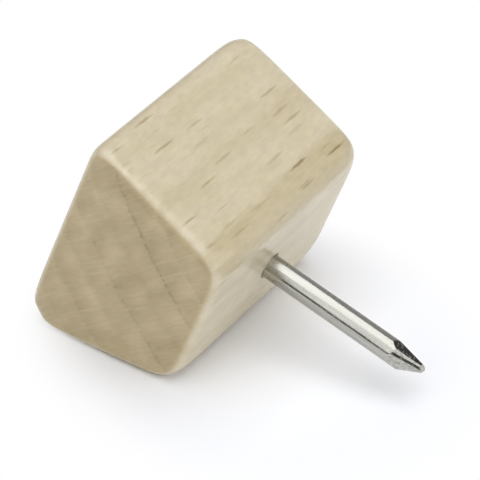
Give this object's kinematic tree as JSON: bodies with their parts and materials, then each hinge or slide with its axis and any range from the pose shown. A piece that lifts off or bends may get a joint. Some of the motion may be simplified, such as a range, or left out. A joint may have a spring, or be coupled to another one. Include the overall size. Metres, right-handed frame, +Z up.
{
  "type": "push pin",
  "caption": "Push pin with a tapered, rounded beech block as its grip and a pointed steel pin glued into the block's narrow face.",
  "frame": {"origin": "the middle of the box's base, on the desk that the block's lower sloping side lies on", "axes": "+Z up from the desk, X along the wood's grain, -Y the way the pin points; the pin dips below the horizontal by the slope of the block's sides"},
  "size_m": [0.022, 0.0292, 0.0179],
  "materials": {
    "beech": "sanded beech under a thin satin clear lacquer",
    "pin_steel": "bright drawn wire with fine lengthwise drawing marks",
    "glue": "cured wood glue, amber and half clear"
  },
  "bodies": {
    "root": {"handle_block": "beech", "steel_pin": "pin_steel", "glue_sleeve": "glue"}
  },
  "joints": []
}
